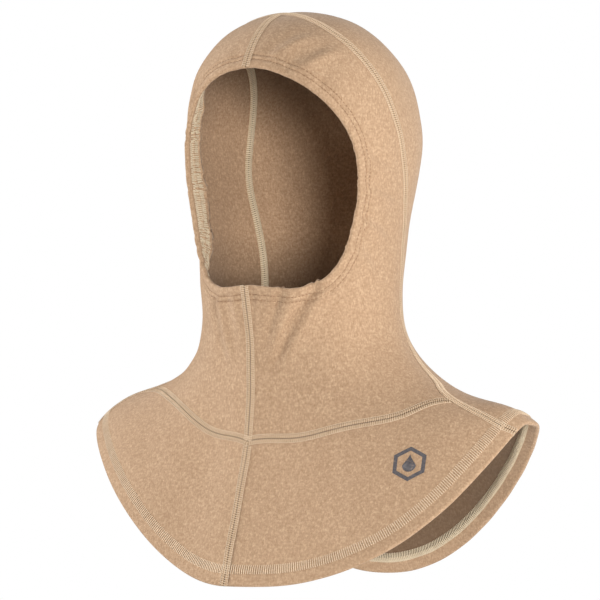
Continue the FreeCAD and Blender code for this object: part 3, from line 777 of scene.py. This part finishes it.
def cut_at_junction(side_ab):
    """A side seam's places down to the junction and from there to the hem."""
    here = int(np.argmin(np.linalg.norm(side_ab - nearest_junction(side_ab), axis=1)))
    return side_ab[:here + 1], side_ab[here:]


def nearest_junction(side_ab):
    """The junction's chart place on the side that a seam is on."""
    place = chart(0.838, -11.5)
    return place if side_ab[-1, 0] > 0 else mirrored(place)


def front_panel(name, face_ab, side_ab, neck_ab):
    """A front panel, from its seams to the turned-in edge round the face."""
    upper = Line(cut_at_junction(side_ab)[0])
    lower = Line(np.concatenate((upper.ab[-1:], neck_ab[::-1][1:])))
    face = Line(face_ab)
    side_share = np.linspace(0.0, 1.0, 130)
    neck_share = np.linspace(0.0, 1.0, 52)[1:]
    outer = np.concatenate((upper.at(side_share * upper.length), lower.at(neck_share * lower.length)))
    inner_share = np.concatenate((0.80 * side_share ** 0.88, 0.80 + 0.20 * neck_share))
    inner = face.at(inner_share * face.length)
    ab = stations(straight_rows(outer, inner), face_fine, 36)
    return panel(name, ab, face_fine, FACE_TURN_IN, TONAL_LINES)


def bib_panel(name, side_ab, neck_ab):
    """A front cape panel, from the neck seam to the turned-up hem."""
    right = side_ab[-1, 0] < 0
    seam = Line(cut_at_junction(side_ab)[1])
    neck = Line(neck_ab)
    share = np.linspace(0.0, 1.0, 64)
    start = neck.at(share * neck.length)
    start[-1] = seam.ab[0]
    last = math.degrees(math.atan2(seam.ab[-1, 1], abs(seam.ab[-1, 0])))
    end = chart(1.0, -90 + share * (last + 90))
    end = mirrored(end) if right else end
    rows = straight_rows(start, end)
    along = seam.at(np.linspace(0.0, seam.length, rows.shape[1]))
    bend = along - rows[-1]
    rows = rows + smooth((share - 0.35) / 0.65)[:, None, None] * bend[None]
    ab = stations(rows, hem_fine, 28)
    return panel(name, ab, hem_fine, HEM_TURN_UP)


def back_panel():
    """The back and crown, one piece from side seam to side seam."""
    left = Line(side_left_ab)
    right = Line(side_right_ab)
    middle = Line(np.stack((np.zeros(300), np.linspace(-0.051, 1.0, 300)), -1))

    def down(line):
        start = np.linspace(0.0, line.length - hem_fine[0], 150, endpoint=False)
        return line.at(np.concatenate((start, line.length - hem_fine)))

    one, two, centre = down(left), down(right), down(middle)
    share = np.linspace(0.0, 1.0, len(one))
    turn = np.linspace(-1.0, 1.0, 150)[:, None]
    ab = np.zeros((150, len(one), 2))
    for side, seam in ((1.0, one), (-1.0, two)):
        whole = np.minimum(np.degrees(np.arctan2(np.abs(seam[:, 0]), seam[:, 1])), 104)
        span = np.radians(35 + (whole - 35) * smooth(share / 0.4))
        angle = np.abs(turn) * span
        a = seam[:, 0] * np.sin(angle) / np.sin(span)
        b = seam[:, 1] + (centre[:, 1] - seam[:, 1]) * (np.cos(angle) - np.cos(span)) / (1 - np.cos(span))
        mine = (turn[:, 0] * side) >= 0
        ab[mine] = np.stack((a, b), -1)[mine]
    return panel("back_panel", ab, hem_fine, HEM_TURN_UP)


front_left = front_panel("front_panel_left", face_left_ab, side_left_ab, neck_left_ab)
front_right = front_panel("front_panel_right", face_right_ab, side_right_ab, neck_right_ab)
bib_left = bib_panel("bib_panel_left", side_left_ab, neck_left_ab)
bib_right = bib_panel("bib_panel_right", side_right_ab, neck_right_ab)
back = back_panel()


# ---------------------------------------------------------------- seams
STITCH = 1.6 * MM
HEM_PITCH = 1.8 * MM
# stitches start at least this far before the end of their line
STITCH_STOP = 1.0 * MM


def stitch_rows(line, start, stop, pitch, shape):
    """Paths of one thread shape repeated along a line. Its rows are along, across and height in mm."""
    shape = np.array(shape) * MM
    at = np.arange(start, stop, pitch)
    s = at[:, None] + shape[None, :, 0]
    return line.raised(s, shape[None, :, 1], shape[None, :, 2])


def strip(name, line, start, stop, across, lifts, node_names, material, wall=0.3 * MM):
    """A thin strip that lies along a line."""
    count = max(4, int((stop - start) / STITCH))
    s = np.linspace(start, stop, count)
    points = line.raised(s[:, None], np.array(across)[None] * MM, np.array(lifts)[None] * MM)
    centre = line.raised(s, np.full(count, across[len(across) // 2] * MM), 0.0)
    above = line.raised(s, np.full(count, across[len(across) // 2] * MM), 1 * MM)
    normals = np.repeat(unit(above - centre)[:, None], len(across), axis=1)
    if min(lifts) < -WALL * 900:
        normals = -normals
    mesh = net(outward_first(points, normals, count // 2, len(across) // 2 - 1), name, line.closed)
    piece = finish_piece(mesh, name, node_names, material)
    return thicken(piece, wall)


ARCH_A = ((0.00, -3.15, 0.05), (0.08, -2.55, 0.52), (0.22, -1.65, 0.66), (0.36, -0.75, 0.52),
          (0.42, -0.22, 0.02))
ARCH_B = ((0.80, 0.22, 0.02), (0.88, 0.75, 0.52), (1.02, 1.65, 0.66), (1.16, 2.55, 0.52),
          (1.22, 3.15, 0.05))
LOOP_IN = ((0.0, -3.0, -1.55), (0.2, -1.8, -2.05), (0.55, -0.2, -1.95), (0.9, 1.6, -2.1), (1.2, 3.0, -1.55))
LOOP_BACK = ((1.2, 3.0, -1.6), (1.25, 1.2, -1.85), (1.0, -0.8, -1.9), (0.9, -3.0, -1.6))


def flat_seam(key, line, start=0.0, stop=None):
    """A flat joined seam: cover threads outside, looper threads inside, and the bed under each."""
    stop = line.length if stop is None else stop
    a = stitch_rows(line, start, stop - STITCH_STOP, STITCH, ARCH_A)
    b = stitch_rows(line, start, stop - STITCH_STOP, STITCH, ARCH_B)
    s = np.arange(start, stop, 0.8 * MM)
    wave = np.arange(len(s)) % 2
    across = (3.15 + 0.14 * wave) * MM
    rails = [line.raised(s, side * across, (0.22 + 0.12 * wave) * MM) for side in (-1, 1)]
    threads(key + "_cover_threads", [*a, *b], 0.29 * MM, [key + "_cover"], cream)
    threads(key + "_cover_rails", rails, 0.2 * MM, (), cream)
    strip(key + "_cover_bed", line, start, stop, (-3.1, -2.2, -1.0, 0.0, 1.0, 2.2, 3.1),
          (0.05, 0.22, 0.24, 0.10, 0.24, 0.22, 0.05), (), cream_bed)
    loops = stitch_rows(line, start, stop - STITCH_STOP, STITCH, LOOP_IN)
    backs = stitch_rows(line, start, stop - STITCH_STOP, STITCH, LOOP_BACK)
    threads(key + "_looper_threads", [*loops, *backs], 0.30 * MM, [key + "_looper"], khaki)
    strip(key + "_looper_bed", line, start, stop, (-3.1, -1.5, 0.0, 1.5, 3.1),
          (-1.40, -1.70, -1.55, -1.70, -1.40), (), khaki_bed)


hem = Line(chart(1.0, np.linspace(-90, 270, 1441)), closed=True)
centre_crown = Line(chart(np.linspace(0.055, 0.213, 100), np.full(100, -90.0)))
centre_chin = Line(chart(np.linspace(0.565, 0.787, 120), np.full(120, -90.0)))
centre_bib = Line(chart(np.linspace(0.787, 1.0, 120), np.full(120, -90.0)))
side_left = Line(side_left_ab)
side_right = Line(side_right_ab)
neck_ab = np.concatenate((neck_right_ab[::-1], neck_left_ab[1:]))
neck = Line(neck_ab)
flat_seam("crown_seam", centre_crown)
flat_seam("chin_seam", centre_chin)
flat_seam("bib_seam", centre_bib, 3.4 * MM)
flat_seam("side_seam_left", side_left)
flat_seam("side_seam_right", side_right)
flat_seam("neck_seam", neck, 3.2 * MM, neck.length - 3.2 * MM)


# ---------------------------------------------------------------- hem and face edge stitching
inward = 1.0 if np.hypot(*hem.beside(np.array([0.1]), np.array([5 * MM]))[0]) < 1 else -1.0


def hem_shape(*rows):
    """A thread shape whose second value is the distance in from the hem."""
    return [(along, inward * away, height) for along, away, height in rows]


BAR = hem_shape((0.0, 8.9, -0.05), (0.02, 9.7, 0.40), (0.05, 12.2, 0.50), (0.08, 14.7, 0.40),
                (0.1, 15.5, -0.05))
bars = stitch_rows(hem, 0.0, hem.length - STITCH_STOP, HEM_PITCH, BAR)
threads("hem_cover_threads", list(bars), 0.38 * MM, ["hem_cover_stitch"], cream)
TURN = hem_shape((0.0, 8.8, -3.45), (0.25, 10.5, -3.95), (0.7, 12.6, -3.95), (1.1, 14.2, -2.7),
                 (1.3, 15.6, -1.7))
TURN_BACK = hem_shape((1.3, 15.6, -1.75), (1.35, 13.9, -2.9), (1.2, 12.2, -3.8), (1.0, 8.8, -3.5))
loops = stitch_rows(hem, 0.0, hem.length - STITCH_STOP, HEM_PITCH, TURN)
backs = stitch_rows(hem, 0.0, hem.length - STITCH_STOP, HEM_PITCH, TURN_BACK)
threads("hem_looper_threads", [*loops, *backs], 0.34 * MM, ["hem_looper_stitch"], khaki)

face_ring = Line(face_ring_ab, closed=True)
outward = 1.0 if np.hypot(*face_ring.beside(np.array([0.02]), np.array([5 * MM]))[0]) < np.hypot(
    *face_ring.at(np.array([0.02]))[0]) else -1.0


def face_shape(*rows):
    """A thread shape whose second value is the distance out from the face edge."""
    return [(along, outward * away, height) for along, away, height in rows]


runs = []
for away in (6.7, 10.4):
    shape = face_shape((0.0, away, -1.0), (0.3, away, -0.62), (1.0, away, -0.5), (1.6, away, -0.62),
                       (1.9, away, -1.0))
    runs.extend(stitch_rows(face_ring, 0.0, face_ring.length - 1.5 * MM, 2.5 * MM, shape))
threads("face_cover_threads", runs, 0.22 * MM, ["face_cover_stitch"], tonal)
DENSE = face_shape((0.0, 3.6, -3.55), (0.15, 4.6, -3.95), (0.5, 6.8, -3.9), (0.2, 8.8, -4.0),
                   (0.4, 11.2, -3.4))
DENSE_BACK = face_shape((0.7, 11.2, -3.4), (0.9, 9.0, -3.95), (0.6, 6.6, -3.95), (1.0, 4.4, -3.9),
                        (0.9, 3.6, -3.5))
loops = stitch_rows(face_ring, 0.0, face_ring.length - 1 * MM, 1.5 * MM, DENSE)
backs = stitch_rows(face_ring, 0.0, face_ring.length - 1 * MM, 1.5 * MM, DENSE_BACK)
threads("face_looper_threads", [*loops, *backs], 0.32 * MM, ["face_looper_stitch"], khaki)
EDGE = face_shape((0.0, 11.5, -2.2), (0.3, 11.7, -2.75), (1.3, 11.9, -2.85), (2.3, 11.7, -2.75),
                  (2.6, 11.5, -2.2))
chain = stitch_rows(face_ring, 0.0, face_ring.length - 2 * MM, 2.4 * MM, EDGE)
threads("face_edge_chain", list(chain), 0.38 * MM, ["face_edge_thread"], yellow)
across = [outward * away for away in (2.2, 4.2, 6.2, 8.2, 10.2)]
strip("face_elastic_tape", face_ring, 0.0, face_ring.length, across, (-1.8, -1.75, -1.75, -1.75, -1.8),
      ["face_elastic"], elastic, 0.45 * MM)


# ---------------------------------------------------------------- print mark and label
LAYING_STEPS = 4


def laid(flat, at, lift):
    """Flat points, right and up in metres, laid on the cloth round a place."""
    middle = np.repeat(at[None], len(flat), axis=0)
    normal = facing(bare, middle)
    up = unit(np.array((0.0, 0.0, 1.0)) - normal * normal[:, 2:3])
    right = unit(np.cross(up, normal))
    ab = middle
    for _ in range(LAYING_STEPS):
        way = unit(right * flat[:, :1] + up * flat[:, 1:] + 1e-12)
        ab = moved(ab, way, np.linalg.norm(flat, axis=1) / LAYING_STEPS)
    return raised(ab, np.full(len(flat), lift))


def patch(name, shape, at, lift, node_names, material, wall):
    """A flat bmesh shape cut fine, laid on the cloth, and given its thickness."""
    uv = shape.loops.layers.uv.new("cloth")
    for face in shape.faces:
        for loop in face.loops:
            loop[uv].uv = (loop.vert.co.x, loop.vert.co.y)
    flat = np.array([vert.co[:2] for vert in shape.verts])
    points = laid(flat, at, lift)
    for vert, point in zip(shape.verts, points):
        vert.co = point
    shape.normal_update()
    outside = facing(bare, at[None])[0]
    if sum((Vector(outside).dot(face.normal) for face in shape.faces)) * (1 if lift > 0 else -1) < 0:
        bmesh.ops.reverse_faces(shape, faces=shape.faces)
    mesh = bpy.data.meshes.new(name)
    shape.to_mesh(mesh)
    shape.free()
    return thicken(finish_piece(mesh, name, node_names, material), wall)


def mark_shape():
    """A plain six-sided frame round a drop."""
    shape = bmesh.new()
    outer = bmesh.ops.create_circle(shape, segments=6, radius=13.6 * MM)["verts"]
    inner = bmesh.ops.create_circle(shape, segments=6, radius=10.4 * MM)["verts"]
    edges = list({edge for vert in (*outer, *inner) for edge in vert.link_edges})
    bmesh.ops.bridge_loops(shape, edges=edges)
    drop = bmesh.ops.create_circle(shape, segments=32, radius=5.0 * MM, cap_ends=True)["verts"]
    for vert in drop:
        rise = max(vert.co.y, 0.0) / (5.0 * MM)
        vert.co.x *= 1 - 0.93 * rise ** 1.3
        vert.co.y = vert.co.y * (1 + 0.75 * rise) - 1.4 * MM
    long_edges = [edge for edge in shape.edges if edge.calc_length() > 3 * MM and not edge.is_boundary
                  or edge.calc_length() > 9 * MM]
    bmesh.ops.subdivide_edges(shape, edges=long_edges, cuts=7, use_grid_fill=True)
    return shape


def label_shape():
    """The blank care label."""
    shape = bmesh.new()
    bmesh.ops.create_grid(shape, x_segments=14, y_segments=16, size=0.5)
    bmesh.ops.scale(shape, vec=(30 * MM, 36 * MM, 1.0), verts=shape.verts)
    return shape


patch("chest_mark", mark_shape(), chart(0.889, -40.8), 0.22 * MM, ["print_mark"], ink,
      0.2 * MM)
patch("neck_label", label_shape(), chart(0.74, 90), -2.1 * MM, ["care_label"], satin,
      0.35 * MM)


# ---------------------------------------------------------------- stage, light and camera
def pale_floor():
    """A plain pale floor, well below the hem."""
    shape = bmesh.new()
    bmesh.ops.create_circle(shape, segments=96, radius=11.0, cap_ends=True)
    bmesh.ops.translate(shape, vec=(0, 0, -1.6), verts=shape.verts)
    mesh = bpy.data.meshes.new("floor")
    shape.to_mesh(mesh)
    shape.free()
    floor = bpy.data.objects.new("floor", mesh)
    bpy.context.scene.collection.objects.link(floor)
    f = Finish("pale_floor")
    f.shader.inputs["Base Color"].default_value = (0.9, 0.9, 0.9, 1)
    f.shader.inputs["Roughness"].default_value = 0.9
    mesh.materials.append(f.material)


def soft_light(name, place, aim, size, power):
    """A large soft lamp."""
    lamp = bpy.data.lights.new(name, "AREA")
    lamp.shape = "DISK"
    lamp.size = size
    lamp.energy = power
    holder = bpy.data.objects.new(name, lamp)
    holder.location = place
    holder.rotation_euler = (Vector(aim) - Vector(place)).to_track_quat("-Z", "Y").to_euler()
    bpy.context.scene.collection.objects.link(holder)


pale_floor()
world = bpy.data.worlds.new("studio")
bpy.context.scene.world = world
world.use_nodes = True
tree = world.node_tree
seen = tree.nodes["Background"]
seen.inputs["Color"].default_value = (1.0, 1.0, 1.0, 1)
seen.inputs["Strength"].default_value = 1.0
shed = tree.nodes.new("ShaderNodeBackground")
shed.inputs["Color"].default_value = (1.0, 1.0, 1.0, 1)
shed.inputs["Strength"].default_value = 0.2
rays = tree.nodes.new("ShaderNodeLightPath")
either = tree.nodes.new("ShaderNodeMixShader")
tree.links.new(rays.outputs["Is Camera Ray"], either.inputs[0])
tree.links.new(shed.outputs[0], either.inputs[1])
tree.links.new(seen.outputs[0], either.inputs[2])
tree.links.new(either.outputs[0], tree.nodes["World Output"].inputs["Surface"])
bpy.context.scene.view_settings.view_transform = "Standard"


LAMP_AWAY = 2.6


def lamp_at(turn, height):
    """A lamp's place at an angle round the object, from straight in front towards the wearer's left."""
    angle = math.radians(turn)
    return (math.sin(angle) * LAMP_AWAY, -math.cos(angle) * LAMP_AWAY, height)


middle = (0.0, 0.0, -0.2)
soft_light("key", lamp_at(47, -0.16), middle, 0.8, 60)
soft_light("left_side", lamp_at(-74, 0.6), middle, 1.2, 84)
soft_light("right_side", lamp_at(112, 0.35), middle, 1.0, 40)

CAMERA_TURN = math.radians(32.5)
CAMERA_RISE = math.radians(-1.5)
CAMERA_AWAY = 2.4
back_way = Vector((math.sin(CAMERA_TURN) * math.cos(CAMERA_RISE),
                   -math.cos(CAMERA_TURN) * math.cos(CAMERA_RISE), math.sin(CAMERA_RISE)))
right_way = Vector((math.cos(CAMERA_TURN), math.sin(CAMERA_TURN), 0))
lens = bpy.data.cameras.new("camera")
lens.lens = 194.58
lens.sensor_width = 36
lens.clip_end = 60
camera = bpy.data.objects.new("camera", lens)
camera.location = Vector((0, 0, -0.213)) - right_way * 1.48 * MM + back_way * CAMERA_AWAY
camera.rotation_mode = "QUATERNION"
camera.rotation_quaternion = (-back_way).to_track_quat("-Z", "Y")
bpy.context.scene.collection.objects.link(camera)
bpy.context.scene.camera = camera
